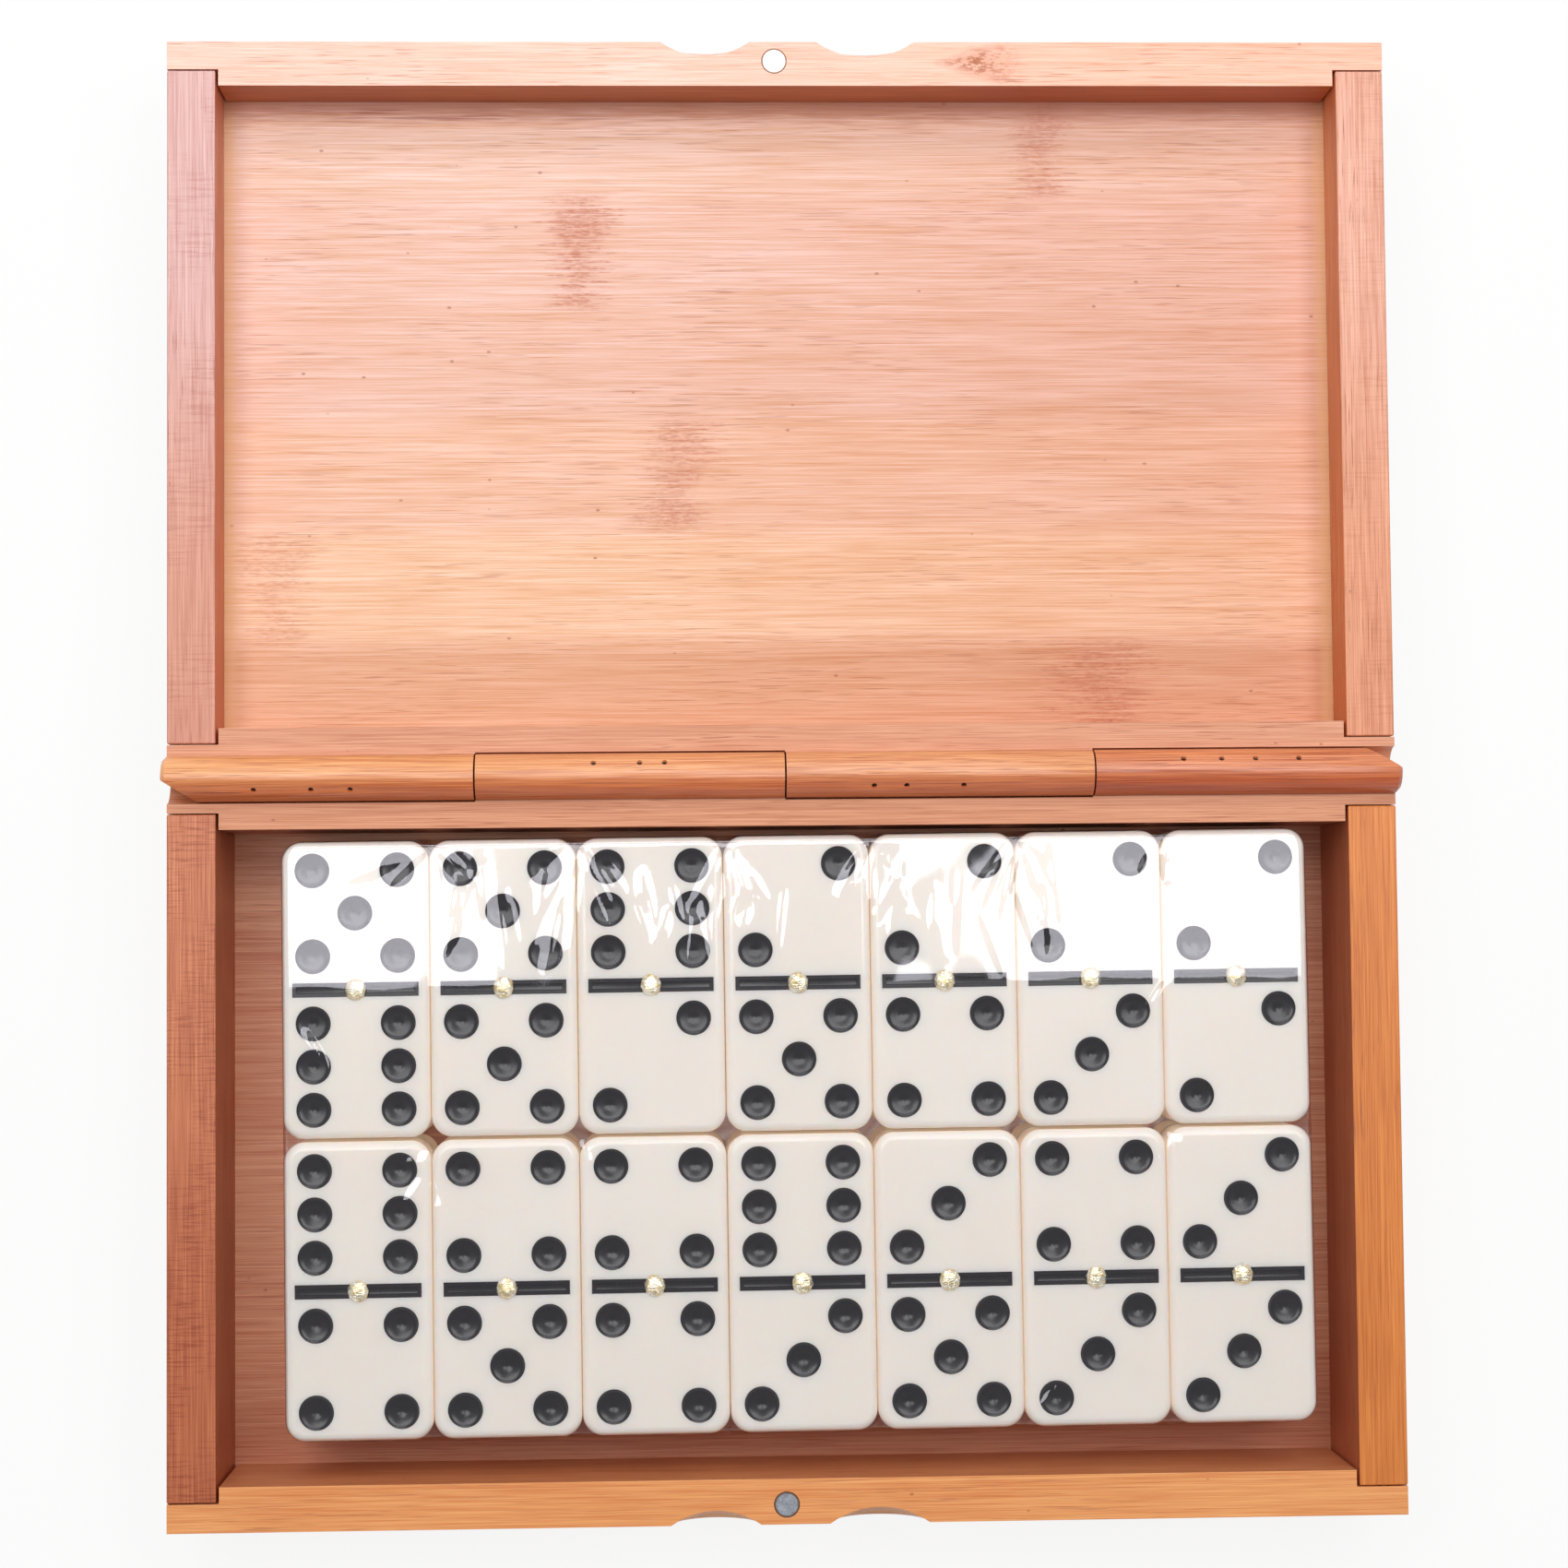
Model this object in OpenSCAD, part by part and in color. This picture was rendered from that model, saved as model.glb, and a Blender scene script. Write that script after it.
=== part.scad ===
// Hinged bamboo box for a double-six domino set, shown opened flat.
// Millimetres. +X to the right, +Y from the tray towards the opened lid, +Z up.
// The origin lies on the table, straight under the middle of the hinge axis.

/* [Walls] */
// Thickness of the front walls
front_wall_t = 7.6; // [6.5:0.1:12]
// Thickness of the back walls, which hold the hinge
back_wall_t = 8.4; // [8:0.1:12]
// Thickness of the left and right walls
side_wall_t = 8.2; // [6:0.1:12]
// How far the end of a side wall reaches into the front or back wall
rabbet_d = 2.8; // [1.5:0.1:3.5]
// Open gap at the shoulder of a corner joint
shoulder_gap = 0.5; // [0.1:0.05:0.8]
// Glue line between the end of a side wall and the wall it meets
joint_gap = 0.15; // [0.05:0.01:0.3]

/* [Tray and lid] */
// Thickness of the tray's floor panel
tray_floor_t = 5.2; // [3:0.1:9]
// Room between the top of the domino pack and the tray's rim
tray_headroom = 0.8; // [0:0.1:10]
// Inside depth of the lid
lid_depth = 10.8; // [10:0.1:25]
// Thickness of the lid's panel
lid_panel_t = 5; // [3:0.1:9]
// Gap between the two rims when the box is closed
closed_gap = 0.1; // [0.05:0.01:0.3]
// Gap between the two back walls when the box is opened flat
leaf_gap = 0.4; // [0.2:0.05:1]

/* [Hinge] */
// Radius of the wooden barrel
barrel_r = 3.9; // [3.4:0.1:4.6]
// How far the barrel stands out past the side walls at each end
barrel_overhang = 0.6; // [0:0.1:2]
// Gap between the ends of two knuckles
knuckle_gap = 0.3; // [0.1:0.05:0.6]
// Running gap between a knuckle and the hollow it turns in
cove_gap = 0.3; // [0.15:0.05:0.5]
// Glue line between a knuckle and the hollow it is fixed in
seat_gap = 0.03; // [0.02:0.01:0.1]
// Length of the slanting cut at the outer end of the barrel
end_cut_l = 5.8; // [2:0.1:10]
// Depth of that slanting cut
end_cut_d = 3.6; // [1:0.1:3.8]
// Chamfer round the outer end of the barrel
end_chamfer = 0.7; // [0.2:0.1:1.2]
// Radius of a hinge pin
pin_r = 1; // [0.7:0.05:1.4]
// Length of a hinge pin
pin_l = 22; // [14:0.5:24]
// Radial gap of a pin in the knuckle that holds it
pin_press_gap = 0.01; // [0.01:0.005:0.02]
// Radial gap of a pin in the knuckle that turns on it
pin_run_gap = 0.05; // [0.02:0.01:0.1]
// Spare length of a pin's bore past the pin's end
pin_end_gap = 0.5; // [0.1:0.1:1]

/* [Brads] */
// Radius of the thin nails that fix the knuckles
brad_r = 0.45; // [0.3:0.05:0.6]
// Length of these nails
brad_l = 12; // [10.5:0.5:14]
// Depth of a nail's head below the wood
brad_sink = 0.6; // [0.2:0.1:1]
// Slant of the nails from upright
brad_tilt = 33; // [25:1:38]

/* [Magnets] */
// Radius of the magnet discs
magnet_r = 2.12; // [1.5:0.01:2.5]
// Thickness of the magnet discs
magnet_t = 3; // [1.5:0.1:6]
// Distance of the magnets' centre from the front face
magnet_inset = 3.3; // [3:0.1:3.6]
// Place of the magnets along the wall
magnet_x = -0.8; // [-2:0.1:3]
// Gap round a magnet
magnet_gap = 0.06; // [0.02:0.01:0.1]

/* [Finger scallops] */
// Middle of the left scallop
scallop_left_x = -12.7; // [-20:0.1:-11.5]
// Width of the left scallop at the rim
scallop_left_w = 15.2; // [10:0.1:17]
// Depth of the left scallop at the rim
scallop_left_d = 2.45; // [1:0.05:3.5]
// Middle of the right scallop
scallop_right_x = 14.9; // [13:0.1:24]
// Width of the right scallop at the rim
scallop_right_w = 16.8; // [10:0.1:19]
// Depth of the right scallop at the rim
scallop_right_d = 2.7; // [1:0.05:3.5]

/* [Tiles] */
// Width of a tile
tile_w = 24.8; // [22:0.1:30]
// Length of a tile
tile_l = 50.2; // [48:0.1:60]
// Thickness of a tile
tile_t = 10.2; // [8:0.1:14]
// Radius of a tile's corners seen from above
tile_corner_r = 3.4; // [2:0.1:5]
// Radius round a tile's upper and lower edges
tile_edge_r = 1.4; // [0.4:0.1:1.9]
// Gap between tiles side by side
tile_side_gap = 0.2; // [0.05:0.05:1]
// Gap between the two rows of tiles
tile_row_gap = 0.56; // [0.05:0.01:2]

/* [Tile marks] */
// Radius of a pip at the tile's face
pip_r = 3; // [2:0.1:3.4]
// Depth of a pip's hollow
pip_d = 1; // [0.9:0.05:1.5]
// Depth of the filled pip at its middle
pip_dish = 0.75; // [0.25:0.05:0.85]
// Distance of a pip's centre from the tile's middle line
pip_x = 7.17; // [6.9:0.01:7.6]
// Distance from the tile's middle to the middle row of pips
pip_mid = 12.95; // [12:0.05:14]
// Distance between rows of pips
pip_pitch = 7.27; // [7:0.01:7.6]
// Length of the dividing groove
groove_l = 21.3; // [16:0.1:21.5]
// Width of the dividing groove
groove_w = 2.4; // [1.6:0.1:3]
// Depth of the dividing groove
groove_d = 0.8; // [0.5:0.05:1.5]
// Depth of the enamel's face in the groove
groove_dish = 0.25; // [0.1:0.05:0.4]
// Gap between the enamel and the tile
enamel_gap = 0.02; // [0.01:0.01:0.05]

/* [Spinners] */
// Radius of a brass rivet's head
spinner_r = 1.85; // [1.3:0.05:2.3]
// Height of the head above the tile's face
spinner_h = 0.9; // [0.4:0.05:1.2]
// Radius of the rivet's stem
stem_r = 0.9; // [0.5:0.05:1.1]
// Length of the rivet's stem inside the tile
stem_l = 6; // [3:0.1:7]
// Gap round the stem
stem_gap = 0.04; // [0.01:0.01:0.1]

/* [Pack] */
// Thickness of the clear film
film_t = 0.12; // [0.05:0.01:0.3]
// Gap between the film and what it wraps
film_gap = 0.1; // [0.05:0.01:0.3]
// Gap between the pack and the tray's left wall
pack_left_gap = 10.8; // [4:0.1:25]
// Gap between the pack and the tray's right wall
pack_right_gap = 6.6; // [4:0.1:25]
// Gap between the pack and the tray's back wall
pack_back_gap = 1.4; // [1.3:0.1:10]
// Gap between the pack and the tray's front wall
pack_front_gap = 7.2; // [4:0.1:20]
// Slight turn of the pack in the tray
pack_turn = 0.36; // [0:0.01:0.6]

/* [Hidden] */
$fn = 48;
cut = 1;
// Knuckles belong to the lid and the tray in turn, from the left
knuckle_n = 4;

// Tiles of the upper layer as they lie, back row first, left to right: [back half, front half]
top_tiles = [
    [5, 6], [5, 5], [6, 2], [2, 5], [2, 4], [2, 3], [2, 2],
    [6, 4], [4, 5], [4, 4], [6, 3], [3, 5], [4, 3], [3, 3]
];
bottom_tiles = [
    [6, 6], [6, 1], [6, 0], [5, 1], [5, 0], [4, 1], [4, 0],
    [3, 1], [3, 0], [2, 1], [2, 0], [1, 1], [1, 0], [0, 0]
];
cols = 7;
rows = 2;

col_pitch = tile_w + tile_side_gap;
row_pitch = tile_l + tile_row_gap;
layer_h = tile_t + spinner_h + enamel_gap;
tiles_w = cols * col_pitch - tile_side_gap;
tiles_l = rows * row_pitch - tile_row_gap;
tiles_h = 2 * layer_h - enamel_gap;
film_out = film_gap + film_t;
pack_w = tiles_w + 2 * film_out;
pack_l = tiles_l + 2 * film_out;
pack_h = tiles_h + 2 * film_out;

inner_w = pack_left_gap + pack_w + pack_right_gap;
inner_l = pack_back_gap + pack_l + pack_front_gap;
box_w = inner_w + 2 * side_wall_t;
back_face = leaf_gap / 2;
back_inner = back_face + back_wall_t;
front_inner = back_inner + inner_l;
half_l = front_inner + front_wall_t;

tray_depth = pack_h + tray_headroom;
rim_z = tray_floor_t + tray_depth;
axis_z = rim_z + closed_gap / 2;
rim_drop = closed_gap / 2;

barrel_l = box_w + 2 * barrel_overhang;
knuckle_l = barrel_l / knuckle_n;

pack_x = -inner_w / 2 + pack_left_gap + pack_w / 2;
pack_y = -back_inner - pack_back_gap - pack_l / 2;

pip_ball_r = (pip_r * pip_r + pip_d * pip_d) / (2 * pip_d);
dish_ball_r = (pip_r * pip_r + pip_dish * pip_dish) / (2 * pip_dish);
head_ball_r = (spinner_r * spinner_r + spinner_h * spinner_h) / (2 * spinner_h);

// Distances of the nails from the middle of their knuckle
brad_x = [
    [-10.7, -1.1, 5.5],
    [-6.2, 1.6, 5.8],
    [-11.3, -5.8, 3.9],
    [-11.2, -4.7, 1.1, 8.5]
];

function tile_name(t) = str("tile_", t[0], "_", t[1]);

// Radius of the ball whose cap has a given width and depth
function cap_ball_r(w, d) = (w * w / 4 + d * d) / (2 * d);

// Centres of the pips of one half, for 0 to 6: [column, row], each -1, 0 or 1
function pips(n) = concat(
    n % 2 == 1 ? [[0, 0]] : [],
    n >= 2 ? [[1, 1], [-1, -1]] : [],
    n >= 4 ? [[-1, 1], [1, -1]] : [],
    n == 6 ? [[-1, 0], [1, 0]] : []
);

// A half of the box is drawn in its own frame: the hinge axis is the X axis,
// the half reaches towards -Y and hangs down from the rim plane at z = 0.
module in_tray() {
    translate([0, 0, axis_z]) children();
}

module in_lid() {
    translate([0, 0, axis_z]) mirror([0, 1, 0]) children();
}

// Block given by its low and high corners
module block(low, high) {
    translate(low) cube(high - low);
}

// Cylinder along X from x0 to x1
module rod(x0, x1, r) {
    translate([x0, 0, 0]) rotate([0, 90, 0]) cylinder(h = x1 - x0, r = r);
}

module panel(depth, t) {
    block([-box_w / 2, -half_l, -rim_drop - depth - t], [box_w / 2, -back_face, -rim_drop - depth]);
}

// Hollow for the end of a side wall, cut into a wall whose inner face is at y
module rabbets(y_tongue, y_inner, depth) {
    for (s = [-1, 1]) {
        x_shoulder = s * (box_w / 2 - side_wall_t - shoulder_gap);
        x_out = s * (box_w / 2 + cut);
        block(
            [min(x_shoulder, x_out), min(y_tongue, y_inner), -rim_drop - depth - cut],
            [max(x_shoulder, x_out), max(y_tongue, y_inner), cut]
        );
    }
}

module scallop(x, w, d) {
    r = cap_ball_r(w, d);
    translate([x, -half_l + d - r, 0]) sphere(r = r);
}

module front_wall(depth) {
    difference() {
        block([-box_w / 2, -half_l, -rim_drop - depth], [box_w / 2, -front_inner, -rim_drop]);
        rabbets(-front_inner - rabbet_d, -front_inner + cut, depth);
        scallop(scallop_left_x, scallop_left_w, scallop_left_d);
        scallop(scallop_right_x, scallop_right_w, scallop_right_d);
        magnet_at() cylinder(h = magnet_t + cut, r = magnet_r + magnet_gap);
    }
}

// Places a magnet with its upper face flush with the rim
module magnet_at() {
    translate([magnet_x, -half_l + magnet_inset, -rim_drop - magnet_t]) children();
}

module side_wall(s, depth) {
    x0 = s < 0 ? -box_w / 2 : box_w / 2 - side_wall_t;
    block(
        [x0, -front_inner - rabbet_d + joint_gap, -rim_drop - depth],
        [x0 + side_wall_t, -back_inner + rabbet_d - joint_gap, -rim_drop]
    );
}

function knuckle_x0(i) = -barrel_l / 2 + i * knuckle_l;

module back_wall(depth, own) {
    difference() {
        block([-box_w / 2, -back_inner, -rim_drop - depth], [box_w / 2, -back_face, -rim_drop]);
        rabbets(-back_inner + rabbet_d, -back_inner - cut, depth);
        for (i = [0 : knuckle_n - 1]) {
            r = barrel_r + (i % 2 == own ? seat_gap : cove_gap);
            rod(knuckle_x0(i), knuckle_x0(i) + knuckle_l, r);
        }
        nails(own, brad_r + enamel_gap, 0);
    }
}

// Pin bores of a knuckle, at both ends or only at the inner one
module pin_bores(i, gap) {
    reach = pin_l / 2 + pin_end_gap;
    if (i > 0) rod(knuckle_x0(i) - cut, knuckle_x0(i) + reach, pin_r + gap);
    if (i < knuckle_n - 1) rod(knuckle_x0(i + 1) - reach, knuckle_x0(i + 1) + cut, pin_r + gap);
}

// Plan-view wedge that takes the corner off the outer end of the barrel, on the +Y side
module end_cut(x_end, s) {
    translate([x_end, barrel_r - end_cut_d, -barrel_r - cut])
        linear_extrude(2 * (barrel_r + cut))
            polygon([
                [s * cut, -end_cut_d / end_cut_l * cut],
                [-s * (end_cut_l + end_cut_l / end_cut_d * cut), end_cut_d + cut],
                [s * cut, end_cut_d + cut]
            ]);
}

// Knuckle i, fixed to the half on the -Y side
module knuckle(i, gap) {
    first = i == 0;
    last = i == knuckle_n - 1;
    x0 = knuckle_x0(i) + (first ? end_chamfer : knuckle_gap / 2);
    x1 = knuckle_x0(i + 1) - (last ? end_chamfer : knuckle_gap / 2);
    difference() {
        union() {
            rod(x0, x1, barrel_r);
            if (first)
                translate([x0, 0, 0]) rotate([0, -90, 0])
                    cylinder(h = end_chamfer, r1 = barrel_r, r2 = barrel_r - end_chamfer);
            if (last)
                translate([x1, 0, 0]) rotate([0, 90, 0])
                    cylinder(h = end_chamfer, r1 = barrel_r, r2 = barrel_r - end_chamfer);
        }
        pin_bores(i, gap);
        if (first) end_cut(knuckle_x0(0), -1);
        if (last) end_cut(knuckle_x0(knuckle_n), 1);
        for (x = brad_x[i]) nail_at(i, x, brad_r + enamel_gap, cut);
    }
}

// A nail straight through the hinge axis of knuckle i, leaning into the wall on the -Y side
module nail_at(i, x, r, proud) {
    top = barrel_r - brad_sink;
    translate([knuckle_x0(i) + knuckle_l / 2 + x, 0, 0])
        rotate([-brad_tilt, 0, 0])
            translate([0, 0, top - brad_l]) cylinder(h = brad_l + (proud > 0 ? brad_sink + proud : 0), r = r);
}

module nails(own, r, proud) {
    for (i = [own : 2 : knuckle_n - 1]) for (x = brad_x[i]) nail_at(i, x, r, proud);
}

module pins() {
    for (i = [1 : knuckle_n - 1]) rod(knuckle_x0(i) - pin_l / 2, knuckle_x0(i) + pin_l / 2, pin_r);
}

// Outline of the rounded outer edge of a slab, seen end on: X outwards, Y up
module edge_outline(r, t, e) {
    intersection() {
        square([r, t]);
        union() {
            square([r - e, t]);
            translate([0, e]) square([r, t - 2 * e]);
            translate([r - e, e]) circle(r = e);
            translate([r - e, t - e]) circle(r = e);
        }
    }
}

// Slab with rounded corners and edges, centred in plan and standing on z = 0.
// Four quarter-round corners, four straight edges and a core meet face to face.
module slab(w, l, t, r, e) {
    block([-w / 2 + r, -l / 2 + r, 0], [w / 2 - r, l / 2 - r, t]);
    for (a = [0 : 90 : 270]) {
        along = a % 180 == 0 ? w : l;
        across = a % 180 == 0 ? l : w;
        rotate([0, 0, a]) {
            translate([along / 2 - r, across / 2 - r, 0]) rotate_extrude(angle = 90) edge_outline(r, t, e);
            translate([along / 2 - r, across / 2 - r, 0]) rotate([90, 0, 0])
                linear_extrude(across - 2 * r) edge_outline(r, t, e);
        }
    }
}

// Puts its children at the centre of each pip on a tile's face
module at_pips(t) {
    for (half = [0, 1]) for (p = pips(t[half]))
        translate([p[0] * pip_x, (half == 0 ? 1 : -1) * pip_mid + p[1] * pip_pitch, tile_t]) children();
}

module tile_body(t) {
    difference() {
        slab(tile_w, tile_l, tile_t, tile_corner_r, tile_edge_r);
        at_pips(t) translate([0, 0, pip_ball_r - pip_d]) sphere(r = pip_ball_r);
        block([-groove_l / 2, -groove_w / 2, tile_t - groove_d], [groove_l / 2, groove_w / 2, tile_t + cut]);
        translate([0, 0, tile_t - stem_l - stem_gap]) cylinder(h = stem_l + cut, r = stem_r + stem_gap);
    }
}

// Black enamel of one tile: a dished cap in each pip and a strip in the groove
module tile_enamel(t) {
    at_pips(t) difference() {
        translate([0, 0, pip_ball_r - pip_d]) sphere(r = pip_ball_r - enamel_gap);
        translate([0, 0, dish_ball_r - pip_dish]) sphere(r = dish_ball_r);
    }
    difference() {
        block(
            [-groove_l / 2 + enamel_gap, -groove_w / 2 + enamel_gap, tile_t - groove_d + enamel_gap],
            [groove_l / 2 - enamel_gap, groove_w / 2 - enamel_gap, tile_t - groove_dish]
        );
        translate([0, 0, tile_t - groove_d]) cylinder(h = groove_d + cut, r = stem_r + stem_gap);
    }
}

module spinner() {
    translate([0, 0, tile_t - stem_l]) cylinder(h = stem_l + enamel_gap, r = stem_r);
    intersection() {
        translate([0, 0, tile_t + spinner_h - head_ball_r]) sphere(r = head_ball_r);
        block(
            [-spinner_r - cut, -spinner_r - cut, tile_t],
            [spinner_r + cut, spinner_r + cut, tile_t + spinner_h + cut]
        );
    }
}

// Moves its children from the pack's frame, standing on its own underside, into the tray
module in_pack() {
    translate([pack_x, pack_y, tray_floor_t]) rotate([0, 0, pack_turn]) children();
}

// Places tile number i of a layer, 0 for the lower layer and 1 for the upper
module tile_place(i, layer) {
    col = i % cols;
    row = floor(i / cols);
    x = (col - (cols - 1) / 2) * col_pitch;
    y = ((rows - 1) / 2 - row) * row_pitch;
    in_pack() translate([x, y, film_out + layer * layer_h]) children();
}

module layer_spinners(layer) {
    color("gold") for (i = [0 : cols * rows - 1]) tile_place(i, layer) spinner();
}

module layer_enamel(tiles, layer) {
    color("black") for (i = [0 : cols * rows - 1]) tile_place(i, layer) tile_enamel(tiles[i]);
}

module shrink_film() {
    color("white", 0.2) in_pack() difference() {
        slab(pack_w, pack_l, pack_h, tile_corner_r + film_out, tile_edge_r + film_out);
        translate([0, 0, film_t]) slab(
            pack_w - 2 * film_t, pack_l - 2 * film_t, pack_h - 2 * film_t,
            tile_corner_r + film_gap, tile_edge_r + film_gap
        );
    }
}

module tray_floor_panel() { color("sienna") in_tray() panel(tray_depth, tray_floor_t); }
module tray_front_wall() { color("sandybrown") in_tray() front_wall(tray_depth); }
module tray_back_wall() { color("darksalmon") in_tray() back_wall(tray_depth, 1); }
module tray_left_wall() { color("peru") in_tray() side_wall(-1, tray_depth); }
module tray_right_wall() { color("chocolate") in_tray() side_wall(1, tray_depth); }
module tray_magnet() { color("silver") in_tray() magnet_at() cylinder(h = magnet_t, r = magnet_r); }
module tray_knuckle_inner() { color("sandybrown") in_tray() knuckle(1, pin_press_gap); }
module tray_knuckle_end() { color("chocolate") in_tray() knuckle(3, pin_press_gap); }
module tray_brads() { color("dimgray") in_tray() nails(1, brad_r, 0); }
module hinge_pins() { color("silver") in_tray() pins(); }

module lid_panel() { color("burlywood") in_lid() panel(lid_depth, lid_panel_t); }
module lid_front_wall() { color("navajowhite") in_lid() front_wall(lid_depth); }
module lid_back_wall() { color("burlywood") in_lid() back_wall(lid_depth, 0); }
module lid_left_wall() { color("darksalmon") in_lid() side_wall(-1, lid_depth); }
module lid_right_wall() { color("sandybrown") in_lid() side_wall(1, lid_depth); }
module lid_magnet() { color("silver") in_lid() magnet_at() cylinder(h = magnet_t, r = magnet_r); }
module lid_knuckle_end() { color("chocolate") in_lid() knuckle(0, pin_run_gap); }
module lid_knuckle_inner() { color("peru") in_lid() knuckle(2, pin_run_gap); }
module lid_brads() { color("dimgray") in_lid() nails(0, brad_r, 0); }

tray_floor_panel();
tray_front_wall();
tray_back_wall();
tray_left_wall();
tray_right_wall();
tray_magnet();
tray_knuckle_inner();
tray_knuckle_end();
tray_brads();
hinge_pins();
lid_panel();
lid_front_wall();
lid_back_wall();
lid_left_wall();
lid_right_wall();
lid_magnet();
lid_knuckle_end();
lid_knuckle_inner();
lid_brads();
for (i = [0 : cols * rows - 1]) {
    color("ivory") tile_place(i, 1) tile_body(top_tiles[i]);
    color("ivory") tile_place(i, 0) tile_body(bottom_tiles[i]);
}
layer_spinners(1);  // spinners_top
layer_spinners(0);  // spinners_bottom
layer_enamel(top_tiles, 1);  // enamel_top
layer_enamel(bottom_tiles, 0);  // enamel_bottom
shrink_film();
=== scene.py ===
import math
import random

import bmesh
import bpy
import numpy
from mathutils import Matrix, Vector


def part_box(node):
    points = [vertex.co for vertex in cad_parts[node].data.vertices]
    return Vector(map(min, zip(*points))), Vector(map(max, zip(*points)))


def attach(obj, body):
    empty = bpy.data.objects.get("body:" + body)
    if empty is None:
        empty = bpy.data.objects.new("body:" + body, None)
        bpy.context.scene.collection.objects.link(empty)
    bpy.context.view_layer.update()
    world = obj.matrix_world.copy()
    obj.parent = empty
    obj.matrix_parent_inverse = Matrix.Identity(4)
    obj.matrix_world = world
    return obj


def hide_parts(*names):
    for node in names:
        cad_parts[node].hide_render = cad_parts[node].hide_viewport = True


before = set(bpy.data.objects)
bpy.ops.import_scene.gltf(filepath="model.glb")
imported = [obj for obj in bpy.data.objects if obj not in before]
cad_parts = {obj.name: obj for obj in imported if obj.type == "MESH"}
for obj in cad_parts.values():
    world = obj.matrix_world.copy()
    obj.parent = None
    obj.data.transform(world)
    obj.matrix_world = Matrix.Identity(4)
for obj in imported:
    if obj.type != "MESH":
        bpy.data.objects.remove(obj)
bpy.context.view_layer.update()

# Lengths below are in millimetres unless a comment says otherwise
MM = 0.001
RIM_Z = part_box("tray_front_wall")[1].z / MM


def srgb(red, green, blue):
    """A colour given as 0 to 255, as Blender wants it."""
    parts = [value / 255 for value in (red, green, blue)]
    return tuple(c / 12.92 if c <= 0.04045 else ((c + 0.055) / 1.055) ** 2.4 for c in parts) + (1,)


# Shader nodes

class Shader:
    """A material, whose nodes are added and linked in short calls."""

    def __init__(self, name):
        self.material = bpy.data.materials.new(name)
        self.material.use_nodes = True
        self.nodes = self.material.node_tree.nodes
        self.links = self.material.node_tree.links
        self.bsdf = self.nodes["Principled BSDF"]

    def plug(self, socket, value):
        if isinstance(value, bpy.types.NodeSocket):
            self.links.new(value, socket)
        else:
            socket.default_value = value

    def add(self, kind, inputs=None, **settings):
        node = self.nodes.new("ShaderNode" + kind)
        for key, value in settings.items():
            setattr(node, key, value)
        for key, value in (inputs or {}).items():
            self.plug(node.inputs[key], value)
        return node

    def set(self, **values):
        """Sets the surface shader's own sockets, named with underscores for spaces."""
        for key, value in values.items():
            self.plug(self.bsdf.inputs[key.replace("_", " ")], value)

    def math(self, operation, *values, clamp=False):
        return self.add("Math", dict(enumerate(values)), operation=operation, use_clamp=clamp).outputs[0]

    def scaled(self, vector, scale, offset=(0, 0, 0)):
        """A vector times scale plus offset."""
        return self.add(
            "VectorMath", {0: vector, 1: scale, 2: offset}, operation="MULTIPLY_ADD"
        ).outputs[0]

    def mix(self, factor, a, b, blend="MIX"):
        node = self.add("Mix", data_type="RGBA", blend_type=blend)
        for index, value in ((0, factor), (6, a), (7, b)):
            self.plug(node.inputs[index], value)
        return node.outputs[2]

    def ramp(self, value, low, high, smooth=False):
        """0 where value is at most low, 1 where it is at least high."""
        kind = "SMOOTHSTEP" if smooth else "LINEAR"
        return self.add(
            "MapRange",
            {"Value": value, "From Min": low, "From Max": high},
            interpolation_type=kind,
        ).outputs[0]

    def noise(self, vector, detail=2.0, roughness=0.5):
        node = self.add("TexNoise", {"Vector": vector, "Detail": detail, "Roughness": roughness})
        node.inputs["Scale"].default_value = 1
        return node.outputs[0]

    def place(self):
        """The point's place in the box at rest, in millimetres."""
        return self.scaled(self.add("TexCoord").outputs["Object"], (1 / MM,) * 3)

    def bump(self, height, depth):
        return self.add("Bump", {"Height": height, "Strength": 1.0, "Distance": depth * MM}).outputs[0]


# Wood

AXES = "XYZ"
# Distance from the hinge to the middle of the tray or lid
LEAF_Y = 63
# Colour of the vessels and specks in the wood
MARK_BROWN = srgb(166, 90, 62)


def grain_scale(grain, length, width):
    """Scale of a texture whose features are length long along the grain and width across it."""
    return tuple(1 / length if axis == grain else 1 / width for axis in AXES)


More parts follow.
